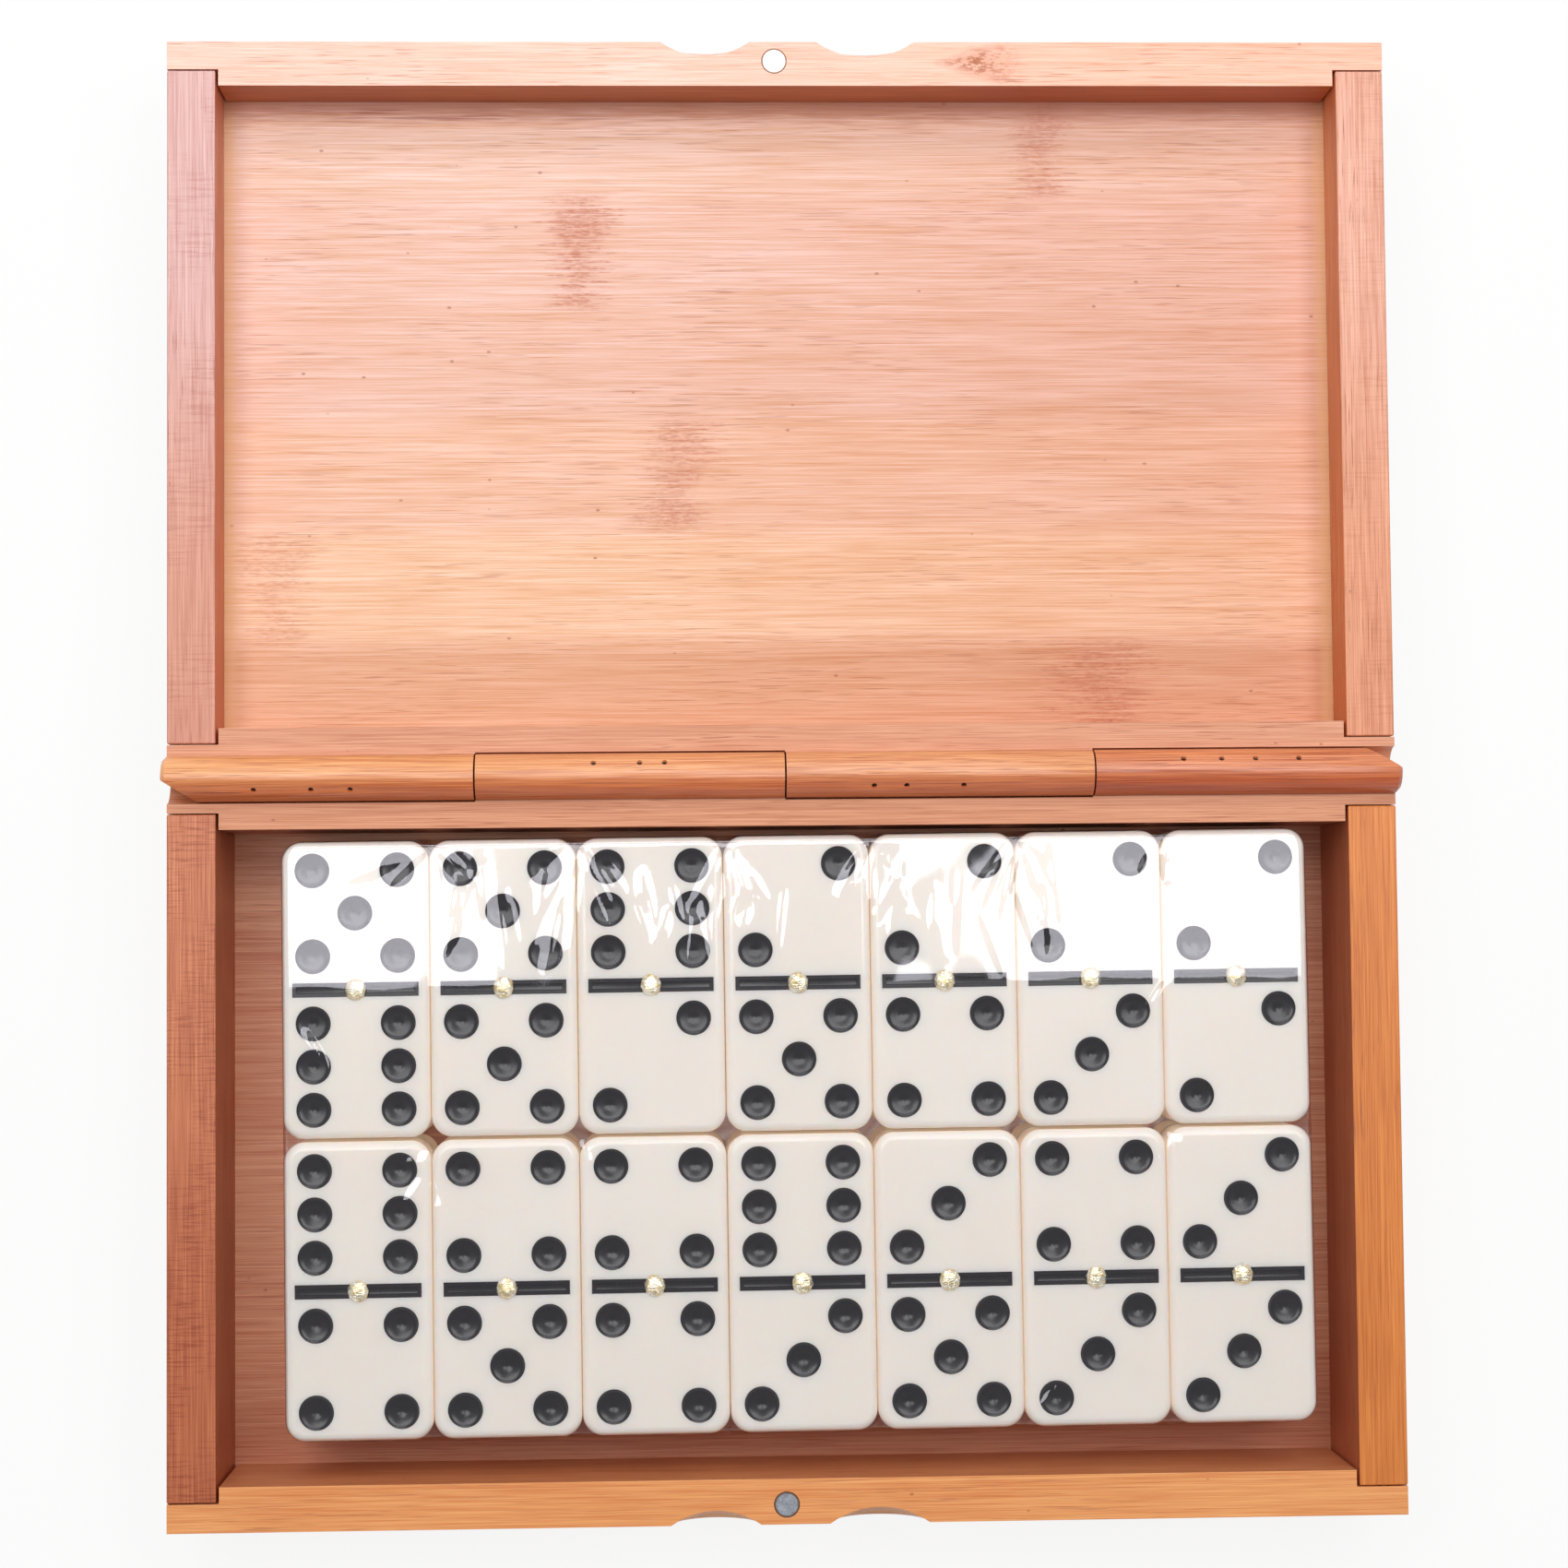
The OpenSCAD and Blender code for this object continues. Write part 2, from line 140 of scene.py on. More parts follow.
def wood(name, grain, pale, deep, seed, side=None, strength=1.0, threads=0.35, vessels=0.4,
         cross=0.0, fleck=0.65, strips=None, tints=(), rough=0.42, coat=0.0, extra=None):
    """Bamboo with a thin lacquer.

    pale and deep are the colours between which the fibres vary, and side is the same pair for
    the upright faces inside the box, darker partly for the wood's deeper stain and partly as
    painted shade. grain is the axis the fibres run along.
    strips is (place of a joint, width) of the glued strips, measured across the grain.
    tints are (axis, start, end, colour): the wood is multiplied by colour from end onwards.
    extra takes (shader, place, colour, pale threads) and returns the colour with more marks on it.
    """
    s = Shader(name)
    here = s.place()
    split = s.add("SeparateXYZ", {0: here})
    other = "Y" if grain == "X" else "X"
    shift = (seed * 13.7, seed * 7.1, seed * 3.3)

    def texture(length, width, detail=1.0, roughness=0.5):
        return s.noise(s.scaled(here, grain_scale(grain, length, width), shift), detail, roughness)

    fibre = texture(26, 0.42, 3, 0.65)
    fine = texture(13, 0.18, 2)
    broad = texture(90, 6, 2)
    cloud = texture(26, 12, 2)
    tone = 0.48
    for value, weight in ((fibre, 1.0), (fine, 1.7), (broad, 0.5), (cloud, 0.4)):
        part = s.math("MULTIPLY", s.math("SUBTRACT", value, 0.5), weight * strength)
        tone = s.math("ADD", tone, part)

    if strips:
        joint, width = strips
        index = s.math("FLOOR", s.math("DIVIDE", s.math("SUBTRACT", split.outputs[other], joint), width))
        chance = s.add("TexWhiteNoise", {"W": s.math("ADD", index, seed)}, noise_dimensions="1D")
        part = s.math("MULTIPLY", s.math("SUBTRACT", chance.outputs["Value"], 0.5), 0.22)
        tone = s.math("ADD", tone, part)

    # Long thin pale threads, and short dark vessels
    thread = s.ramp(texture(34, 0.24), 0.54, 0.68)
    vessel = s.ramp(texture(8, 0.24, 1), 0.62, 0.71)
    gather = s.ramp(texture(30, 9), 0.42, 0.62)
    vessel = s.math("MULTIPLY", vessel, s.math("ADD", 0.25, s.math("MULTIPLY", gather, 0.75)))
    tone = s.math("SUBTRACT", tone, s.math("MULTIPLY", thread, threads))

    if cross:
        saw = s.noise(s.scaled(here, grain_scale(other, 6, 0.34), shift), 2, 0.6)
        patch = s.ramp(texture(14, 8), 0.38, 0.6)
        marks = s.math("MULTIPLY", s.ramp(saw, 0.48, 0.66), patch)
        tone = s.math("ADD", tone, s.math("MULTIPLY", marks, cross))

    tone = s.math("ADD", tone, 0, clamp=True)
    colour = s.mix(tone, pale, deep)
    # Upright faces inside the box take the side colours: partly the wood's deeper stain, partly painted
    # shade
    if side:
        facing = s.add("TexCoord").outputs["Normal"]
        steep = s.ramp(s.math("ABSOLUTE", s.add("SeparateXYZ", {0: facing}).outputs["Z"]), 0.8, 0.3)
        middle = (0, LEAF_Y if name.startswith("lid") else -LEAF_Y, 0)
        outwards = s.add("VectorMath", {0: here, 1: middle}, operation="SUBTRACT").outputs[0]
        outwards = s.add("VectorMath", {0: facing, 1: outwards}, operation="DOT_PRODUCT").outputs["Value"]
        inner = s.math("MULTIPLY", steep, s.math("LESS_THAN", outwards, 0))
        colour = s.mix(inner, colour, s.mix(tone, *side))
    for axis, first, last, tint in tints:
        reach = s.ramp(split.outputs[axis], first, last, smooth=True)
        colour = s.mix(reach, colour, tint, "MULTIPLY")
    colour = s.mix(s.math("MULTIPLY", vessel, vessels), colour, MARK_BROWN)

    # Tiny dark specks, longer along the grain
    cell = s.add(
        "TexVoronoi",
        {"Vector": s.scaled(here, grain_scale(grain, 8, 5), shift), "Scale": 1, "Randomness": 1},
        voronoi_dimensions="3D",
    )
    speck = s.ramp(cell.outputs["Distance"], 0.06, 0.03)
    rare = s.math("GREATER_THAN", s.add("SeparateXYZ", {0: cell.outputs["Color"]}).outputs[0], 0.35)
    speck = s.math("MULTIPLY", s.math("MULTIPLY", speck, rare), fleck)
    colour = s.mix(speck, colour, MARK_BROWN)

    if extra:
        colour = extra(s, here, colour, thread)

    height = s.math("SUBTRACT", s.math("ADD", fibre, s.math("MULTIPLY", fine, 0.5)), vessel)
    s.set(
        Base_Color=colour,
        Roughness=s.math("ADD", rough - 0.08, s.math("MULTIPLY", fine, 0.16)),
        Normal=s.bump(height, 0.025),
        Coat_Weight=coat,
        Coat_Roughness=0.12,
    )
    return s.material


def within(s, value, low, high, soft):
    """1 where value is between low and high, with edges soft wide."""
    rise = s.ramp(value, low - soft / 2, low + soft / 2)
    fall = s.ramp(value, high + soft / 2, high - soft / 2)
    return s.math("MULTIPLY", rise, fall)


# Where the lid panel's strips meet, and its bamboo nodes: (middle, low, high, width, strength)
STRIP_JOINT = 23.5
STRIP_W = 19.6
PANEL_SMEARS = [
    (-88, 23.5, 43.1, 9, 0.7), (-18, 43.1, 62.7, 8.5, 1.0), (-35, 82.3, 101.9, 8, 1.3),
    (46.5, 101.9, 118.4, 7, 1.0), (56, 3.9, 23.5, 13, 1.2),
]
# What each strip's colour is multiplied by, from the hinge to the front: partly the strips' own tone,
# partly painted sheen that makes the panel paler towards the front
PANEL_TONES_AND_SHEEN = [
    (0.825, 0.70, 0.50, 1), (0.99, 1.0, 0.815, 1), (0.93, 0.90, 0.79, 1),
    (0.89, 0.875, 0.84, 1), (0.91, 0.94, 0.95, 1), (0.915, 1.0, 1.0, 1),
]
PANEL_EDGE_X = 96.9
PANEL_TOP = 118.4
# Where the stain at the panel's upper edge is darkest
STAIN_X = (-80, -38)
PANEL_BROWN = srgb(184, 92, 54)
# Colour of the stain and painted shade along the panel's upper edge
STAIN_AND_SHADE_BROWN = srgb(172, 92, 62)
STAIN_DARK = srgb(150, 58, 28)
END_YELLOW = srgb(236, 184, 130)
RIM_BROWN = srgb(178, 94, 50)


def panel_marks(s, here, colour, thread):
    """The lid panel's strip tones with their painted sheen, its bamboo nodes, its upper edge stained and
    darkened by painted shade, and the paler strips at its ends.
    """
    x, y, _ = s.add("SeparateXYZ", {0: here}).outputs
    # Each strip's own tone, with painted sheen that pales the panel towards the front
    for index, tone in enumerate(PANEL_TONES_AND_SHEEN):
        low = STRIP_JOINT + STRIP_W * (index - 1)
        high = low + STRIP_W * (3 if index == len(PANEL_TONES_AND_SHEEN) - 1 else 1)
        low -= STRIP_W * (3 if index == 0 else 0)
        colour = s.mix(within(s, y, low, high, 4.5), colour, tone, "MULTIPLY")
    streak = s.noise(s.scaled(here, (1 / 7, 1 / 0.45, 1), (3, 8, 1)), 2)
    streak = s.math("SUBTRACT", streak, 0.5)
    lobe = s.noise(s.scaled(here, (1 / 20, 1 / 6, 1), (2, 5, 1)), 1)
    mottle = s.ramp(s.noise(s.scaled(here, (1 / 1.5, 1 / 0.4, 1)), 3, 0.65), 0.36, 0.62)
    spare = s.math("SUBTRACT", 1, s.math("MULTIPLY", thread, 0.75))
    for middle, low, high, width, strength in PANEL_SMEARS:
        away = s.math("ABSOLUTE", s.math("SUBTRACT", x, middle))
        away = s.math("ADD", away, s.math("MULTIPLY", streak, width * 2.4))
        away = s.math("ADD", away, s.math("MULTIPLY", s.math("SUBTRACT", lobe, 0.5), width * 1.3))
        inside = s.ramp(away, width * 0.8, width * 0.15, smooth=True)
        inside = s.math("MULTIPLY", inside, within(s, y, low, high, 3))
        amount = s.math("ADD", 0.12, s.math("MULTIPLY", mottle, 0.52))
        amount = s.math("MULTIPLY", s.math("MULTIPLY", amount, spare), strength)
        colour = s.mix(s.math("MULTIPLY", inside, amount), colour, PANEL_BROWN)

    facing = s.add("SeparateXYZ", {0: s.add("TexCoord").outputs["Normal"]}).outputs["Z"]
    inner_face = s.math("GREATER_THAN", facing, 0.5)
    ends = s.ramp(s.math("ABSOLUTE", x), PANEL_EDGE_X - 3.4, PANEL_EDGE_X - 1.4, smooth=True)
    ends = s.math("MULTIPLY", ends, inner_face)
    colour = s.mix(s.math("MULTIPLY", ends, 0.6), colour, END_YELLOW)

    # Stain that ran from the joint at the upper edge, and painted shade in the corner along the lid's
    # front wall
    reach = s.math("ADD", y, s.math("MULTIPLY", streak, 6))
    stain_and_shade = s.math("MULTIPLY", s.ramp(reach, PANEL_TOP - 5.5, PANEL_TOP - 0.5, smooth=True), 0.6)
    stain_and_shade = s.math("MULTIPLY", stain_and_shade, inner_face)
    colour = s.mix(stain_and_shade, colour, STAIN_AND_SHADE_BROWN)
    dark = s.noise(s.scaled(here, (1 / 16, 1 / 0.5, 1), (5, 2, 7)), 2)
    dark = s.ramp(dark, 0.52, 0.66)
    line = within(s, y, PANEL_TOP - 3.2, PANEL_TOP - 0.9, 1.2)
    for share in (line, within(s, x, *STAIN_X, 10), inner_face):
        dark = s.math("MULTIPLY", dark, share)
    return s.mix(s.math("MULTIPLY", dark, 0.7), colour, STAIN_DARK)


def front_rim_marks(s, here, colour, thread):
    """A bamboo node on the lid's front wall, pointed at its left, with dots on its right."""
    x, y, _ = s.add("SeparateXYZ", {0: here}).outputs
    mottle = s.noise(s.scaled(here, (1 / 1.3, 1 / 0.55, 1)), 3, 0.7)
    middle = s.math("ABSOLUTE", s.math("SUBTRACT", y, 122.6))
    reach = s.math("MULTIPLY", s.math("SUBTRACT", x, 24), 0.34)
    ragged = s.math("SUBTRACT", reach, s.math("MULTIPLY", mottle, 2.2))
    inside = s.ramp(s.math("SUBTRACT", ragged, middle), -0.8, 1.2)
    inside = s.math("MULTIPLY", inside, s.ramp(x, 44, 33, smooth=True))
    grain = s.math("ADD", 0.32, s.math("MULTIPLY", s.ramp(mottle, 0.46, 0.56), 0.68))
    return s.mix(s.math("MULTIPLY", inside, grain), colour, RIM_BROWN)


# The barrel is painted darker on the side that faces the tray: painted shade, where it faces away from
# the lamps
BARREL = {
    "rough": 0.46, "coat": 0.5, "vessels": 0.8, "strength": 1.2,
    "tints": [("Y", 1.6, -2.4, (0.76, 0.44, 0.3, 1))],
}

WOODS = {
    "lid_panel": wood(
        "lid_panel_bamboo", "X", srgb(251, 205, 194), srgb(225, 158, 114), 1, strength=0.9,
        extra=panel_marks, tints=[("X", -60, 75, (0.91, 0.79, 0.72, 1))],
    ),
    "lid_front_wall": wood(
        "lid_front_bamboo", "X", srgb(252, 214, 199), srgb(240, 180, 154), 2, strength=1.3,
        side=(srgb(205, 124, 80), srgb(170, 87, 53)), threads=0.2, vessels=0.6,
        tints=[("X", -40, 60, (1, 0.84, 0.74, 1))], extra=front_rim_marks,
    ),
    "lid_back_wall": wood(
        "lid_back_bamboo", "X", srgb(228, 164, 127), srgb(196, 118, 82), 3, vessels=0.7,
    ),
    "lid_left_wall": wood(
        "lid_left_bamboo", "Y", srgb(229, 186, 181), srgb(200, 140, 132), 4, cross=0.45,
        side=(srgb(226, 142, 108), srgb(184, 100, 70)), vessels=0.55,
        tints=[("Y", 95, 30, (0.93, 0.69, 0.5, 1))],
    ),
    "lid_right_wall": wood(
        "lid_right_bamboo", "Y", srgb(242, 184, 161), srgb(204, 131, 102), 5, vessels=0.8, cross=0.25,
        side=(srgb(236, 154, 104), srgb(190, 102, 60)),
        tints=[("Y", 95, 30, (0.93, 0.75, 0.55, 1))],
    ),
    "tray_floor_panel": wood(
        "tray_floor_bamboo", "X", srgb(240, 179, 141), srgb(206, 120, 86), 6,
        strips=(STRIP_JOINT - 10, STRIP_W), threads=0.5,
        # Painted shade: the floor is darker towards the front wall, in the narrow gap between the pack
        # and the wall
        tints=[("Y", -98, -116, (0.75, 0.64, 0.62, 1))],
    ),
    "tray_front_wall": wood(
        "tray_front_bamboo", "X", srgb(252, 178, 112), srgb(220, 128, 68), 7,
        side=(srgb(223, 150, 102), srgb(186, 104, 61)),
    ),
    "tray_back_wall": wood(
        "tray_back_bamboo", "X", srgb(225, 157, 117), srgb(191, 115, 76), 8,
        side=(srgb(196, 120, 88), srgb(150, 74, 48)), vessels=0.7,
    ),
    "tray_left_wall": wood(
        "tray_left_bamboo", "Y", srgb(222, 138, 93), srgb(169, 84, 51), 9, cross=0.65,
        side=(srgb(199, 114, 71), srgb(162, 75, 43)),
        tints=[("Y", -20, -95, (0.84, 0.73, 0.68, 1))],
    ),
    "tray_right_wall": wood(
        "tray_right_bamboo", "Y", srgb(236, 144, 68), srgb(193, 101, 38), 10, vessels=0.9,
        side=(srgb(203, 119, 79), srgb(166, 77, 42)),
    ),
    "tray_knuckle_inner": wood(
        "barrel_bamboo_2", "X", srgb(247, 176, 120), srgb(200, 112, 64), 11, **BARREL,
    ),
    "tray_knuckle_end": wood(
        "barrel_bamboo_4", "X", srgb(236, 150, 100), srgb(176, 86, 48), 12, **BARREL,
    ),
    "lid_knuckle_end": wood(
        "barrel_bamboo_1", "X", srgb(250, 182, 122), srgb(204, 118, 68), 13, **BARREL,
    ),
    "lid_knuckle_inner": wood(
        "barrel_bamboo_3", "X", srgb(248, 180, 126), srgb(202, 118, 74), 14, **BARREL,
    ),
}


# Other materials

film_low, film_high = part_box("shrink_film")
PACK_MIDDLE = (film_low + film_high) / 2 / MM
# Half the length and width within which the tiles' sides get painted light (a faint emission), just
# inside the pack's own
PAINTED_GAP_LIGHT_HALF = (85.5, 49)
# Colour of the painted light that the tiles' upright faces give off
PAINTED_GAP_LIGHT = (0.1, 0.078, 0.05, 1)


def ivory():
    """Resin that lets light through, with painted light: a faint warm emission on the tiles' upright
    faces inside the pack, so that the narrow gaps between tiles glow.
    """
    s = Shader("ivory_resin")
    here = s.place()
    facing = s.add("SeparateXYZ", {0: s.add("TexCoord").outputs["Normal"]}).outputs["Z"]
    inside = s.ramp(s.math("ABSOLUTE", facing), 0.5, 0.1)
    split = s.add("SeparateXYZ", {0: s.scaled(here, (1, 1, 1), tuple(-PACK_MIDDLE))}).outputs
    for axis, half in zip("XY", PAINTED_GAP_LIGHT_HALF):
        inside = s.math("MULTIPLY", inside, s.math("LESS_THAN", s.math("ABSOLUTE", split[axis]), half))
    cloud = s.noise(s.scaled(here, (0.05, 0.05, 0.05)), 2)
    s.set(
        Base_Color=s.mix(cloud, srgb(254, 243, 236), srgb(252, 238, 228)),
        Roughness=0.1,
        Subsurface_Weight=0.6,
        Subsurface_Radius=(1.0, 0.7, 0.5),
        Subsurface_Scale=2.4 * MM,
        # Painted light: the tiles' upright faces inside the pack glow faintly
        Emission_Color=s.mix(inside, (0, 0, 0, 1), PAINTED_GAP_LIGHT),
        Emission_Strength=1.0,
    )
    return s.material


def enamel():
    s = Shader("black_enamel")
    here = s.place()
    dust = s.noise(s.scaled(here, (0.35, 0.35, 0.35)), 2)
    s.set(
        Base_Color=s.mix(dust, srgb(22, 21, 26), srgb(38, 34, 39)),
        Roughness=s.math("ADD", 0.2, s.math("MULTIPLY", dust, 0.08)),
    )
    return s.material


def metal(name, bright, dull, rough, scratch, gap_shade_ring=None):
    """Metal with uneven polish. The optional last argument is (centre, radius) of a disc whose edge is
    painted grey-brown: painted shade for the gap between a magnet and its hole.
    """
    s = Shader(name)
    here = s.place()
    patches = s.noise(s.scaled(here, (1.1, 1.1, 1.1)), 3, 0.6)
    marks = s.noise(s.scaled(here, (0.9, 6, 3)), 2)
    colour = s.mix(s.ramp(patches, 0.35, 0.65), bright, dull)
    if gap_shade_ring:
        centre, radius = gap_shade_ring
        away = s.add("VectorMath", {0: here, 1: centre}, operation="SUBTRACT").outputs[0]
        away = s.add("VectorMath", {0: s.scaled(away, (1, 1, 0))}, operation="LENGTH").outputs["Value"]
        # Painted shade: the disc's edge is darkened where the gap round the magnet lies in shade
        colour = s.mix(s.ramp(away, radius - 0.42, radius - 0.12), colour, srgb(128, 100, 84))
    s.set(
        Base_Color=colour,
        Metallic=1.0,
        Roughness=s.math("ADD", rough, s.math("MULTIPLY", patches, 0.2)),
        Normal=s.bump(s.math("ADD", patches, marks), scratch),
    )
    return s.material


FILM_IOR = 1.8
FILM_GLOSS = (0.92, 0.91, 1, 1)
FILM_ROUGH = 0.045


def clear_film():
    """A thin sheet, which mirrors and passes light alike from both sides."""
    s = Shader("clear_film")
    s.nodes.remove(s.bsdf)
    behind = s.add("NewGeometry").outputs["Backfacing"]
    index = s.math("MULTIPLY_ADD", behind, 1 / FILM_IOR - FILM_IOR, FILM_IOR)
    fresnel = s.add("Fresnel", {"IOR": index})
    clear = s.add("BsdfTransparent", {"Color": (1, 1, 1, 1)})
    gloss = s.add("BsdfAnisotropic", {"Color": FILM_GLOSS, "Roughness": FILM_ROUGH})
    both = s.add("MixShader", {0: fresnel.outputs[0], 1: clear.outputs[0], 2: gloss.outputs[0]})
    s.links.new(both.outputs[0], s.nodes["Material Output"].inputs["Surface"])
    return s.material


def paint(node, material):
    """Gives a CAD node a material through its object's slots."""
    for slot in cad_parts[node].material_slots:
        slot.link = "OBJECT"
        slot.material = material


def sand(node, width):
    """Takes the sharpness off a wooden piece's edges."""
    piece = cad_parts[node]
    weld = piece.modifiers.new("joined_corners", "WELD")
    weld.merge_threshold = 0.002 * MM
    bevel = piece.modifiers.new("sanded_edges", "BEVEL")
    bevel.width = width * MM
    bevel.segments = 2
    bevel.limit_method = "ANGLE"
    bevel.angle_limit = math.radians(40)
    bevel.harden_normals = True


IVORY = ivory()
ENAMEL = enamel()
BRASS = metal("brass", srgb(255, 252, 238), srgb(226, 202, 146), 0.16, 0.12)
STEEL = metal("nail_steel", srgb(90, 80, 76), srgb(52, 44, 42), 0.45, 0.02)

SANDED = 0.3
# Colours of the two magnets, lit and shaded copies of one nickel: the lid's is painted white as a painted
# reflection, the tray's painted grey as painted shade
MAGNETS_LIT_AND_SHADED = {
    "lid_magnet": (srgb(255, 255, 255), srgb(245, 245, 248)),
    "tray_magnet": (srgb(212, 216, 224), srgb(150, 156, 168)),
}


def finish_cad_nodes():
    """Gives every CAD node its material, and eases the edges of the wood."""
    for node, material in WOODS.items():
        paint(node, material)
        sand(node, SANDED)
    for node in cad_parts:
        if node.startswith("tile_"):
            paint(node, IVORY)
    paint("enamel_bottom", ENAMEL)
    paint("spinners_bottom", BRASS)
    for node, (bright, dull) in MAGNETS_LIT_AND_SHADED.items():
        low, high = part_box(node)
        middle = (low + high) / 2 / MM
        radius = (high.x - low.x) / 2 / MM
        gap_shade_ring = (tuple(middle), radius)
        paint(node, metal(node + "_nickel", bright, dull, 0.32, 0.01, gap_shade_ring))
    for node in ("lid_brads", "tray_brads", "hinge_pins"):
        paint(node, STEEL)


finish_cad_nodes()


# The upper layer's pips, grooves and rivets, and the film round the pack

PACK_TURN = math.radians(0.36)
TILE_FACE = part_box("tile_5_6")[1].z / MM
TILE_PITCH = (25.0, 50.76)
TOP_TILES = [
    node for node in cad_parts
    if node.startswith("tile_") and abs(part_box(node)[1].z / MM - TILE_FACE) < 1
]

PIP_X = 7.17
PIP_MIDDLE = 12.95
PIP_PITCH = 7.27
PIP_TURNS = 32
# From the bottom of the hollow out to the rim, and back over the dish: (radius, height)
PIP_OUTLINE = [
    (1.0, -0.87), (2.0, -0.62), (2.7, -0.25), (2.96, -0.05), (2.94, 0.0), (2.87, -0.03),
    (2.7, -0.15), (2.5, -0.26), (2.2, -0.35), (1.8, -0.43), (1.4, -0.475), (1.1, -0.505),
    (0.9, -0.54), (0.7, -0.59), (0.45, -0.66), (0.2, -0.71),
]
PIP_BOTTOM = -0.97
PIP_DISH = -0.725
GROOVE = (21.3, 2.4)
# From the groove's wall inwards: (distance from the wall, height)
GROOVE_OUTLINE = [(0.02, -0.78), (0.02, -0.12), (0.08, -0.08), (0.62, -0.1), (0.72, -0.3), (0.78, -0.32)]


def pips(count):
    """The pips of one half, as (column, row) from -1 to 1."""
    places = [(0, 0)] if count % 2 else []
    places += [(1, 1), (-1, -1)] if count >= 2 else []
    places += [(-1, 1), (1, -1)] if count >= 4 else []
    return places + ([(-1, 0), (1, 0)] if count == 6 else [])


def tile_frame(node):
    """Matrix from a tile's own frame, in millimetres with its face at 0, to the scene."""
    low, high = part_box(node)
    middle = (low + high) / 2
    middle.z = TILE_FACE * MM
    return Matrix.Translation(middle) @ Matrix.Rotation(PACK_TURN, 4, "Z") @ Matrix.Scale(MM, 4)


def ring_strip(mesh, rings):
    """Faces between rings of vertices, one after another."""
    for inner, outer in zip(rings, rings[1:]):
        for k in range(len(inner)):
            nxt = (k + 1) % len(inner)
            mesh.faces.new((inner[k], inner[nxt], outer[nxt], outer[k]))


def lathe(mesh, place, outline, bottom, top, turns):
    """A closed round body whose outline runs from the axis at bottom to the axis at top."""
    rings = []
    for radius, height in outline:
        angles = [2 * math.pi * k / turns for k in range(turns)]
        rings.append([
            mesh.verts.new(place @ Vector((radius * math.cos(a), radius * math.sin(a), height)))
            for a in angles
        ])
    ring_strip(mesh, rings)
    for ring, height, order in ((rings[0], bottom, 1), (rings[-1], top, -1)):
        tip = mesh.verts.new(place @ Vector((0, 0, height)))
        for k in range(turns):
            a, b = ring[k], ring[(k + 1) % turns]
            mesh.faces.new((tip, b, a)[::order])


def groove_strip(mesh, place):
    """The enamel in a tile's dividing groove: a strip with a shallow trough along it."""
    rings = []
    for inset, height in GROOVE_OUTLINE:
        x, y = GROOVE[0] / 2 - inset, GROOVE[1] / 2 - inset
        corners = ((-x, -y), (x, -y), (x, y), (-x, y))
        rings.append([mesh.verts.new(place @ Vector((a, b, height))) for a, b in corners])
    ring_strip(mesh, rings)
    mesh.faces.new(reversed(rings[0]))
    mesh.faces.new(rings[-1])


def make_piece(name, mesh, body, material, replaced, smooth_below=40):
    """Turns a bmesh into a piece that rides on a body and stands for a CAD node."""
    bmesh.ops.recalc_face_normals(mesh, faces=mesh.faces)
    data = bpy.data.meshes.new(name)
    mesh.to_mesh(data)
    mesh.free()
    data.shade_smooth()
    data.set_sharp_from_angle(angle=math.radians(smooth_below))
    data.materials.append(material)
    piece = bpy.data.objects.new(name, data)
    bpy.context.scene.collection.objects.link(piece)
    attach(piece, body)
    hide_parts(replaced)
    return piece


def pips_and_grooves():
    mesh = bmesh.new()
    for node in TOP_TILES:
        place = tile_frame(node)
        back, front = (int(digit) for digit in node.split("_")[1:])
        for half, count in ((1, back), (-1, front)):
            for column, row in pips(count):
                shift = Vector((column * PIP_X, half * PIP_MIDDLE + row * PIP_PITCH, 0))
                spot = place @ Matrix.Translation(shift)
                lathe(mesh, spot, PIP_OUTLINE, PIP_BOTTOM, PIP_DISH, PIP_TURNS)
        groove_strip(mesh, place)
    make_piece("pips_and_grooves", mesh, "domino_pack", ENAMEL, "enamel_top", 30)


RIVET_R = 1.85
RIVET_H = 0.88
# Rings of a hammered head: (share of the radius, share of the height, number of corners)
RIVET_RINGS = [(1.0, 0.0, 16), (0.95, 0.4, 10), (0.7, 0.8, 7), (0.34, 0.98, 5)]


def rivets():
    """Brass heads with a few uneven facets, as a hammer leaves them."""
    rng = random.Random(11)
    mesh = bmesh.new()
    for node in TOP_TILES:
        place = tile_frame(node)
        points = []
        for share, rise, corners in RIVET_RINGS:
            start = rng.uniform(0, 2 * math.pi)
            for k in range(corners):
                angle = start + 2 * math.pi * (k + rng.uniform(-0.25, 0.25)) / corners
                radius = RIVET_R * share * (1 if rise == 0 else rng.uniform(0.94, 1.03))
                height = RIVET_H * rise * rng.uniform(0.95, 1.03)
                points.append(Vector((radius * math.cos(angle), radius * math.sin(angle), height)))
        verts = [mesh.verts.new(place @ point) for point in points]
        bmesh.ops.convex_hull(mesh, input=verts)
    loose = [v for v in mesh.verts if not v.link_faces]
    bmesh.ops.delete(mesh, geom=loose, context="VERTS")
    make_piece("rivets", mesh, "domino_pack", BRASS, "spinners_top", 10)


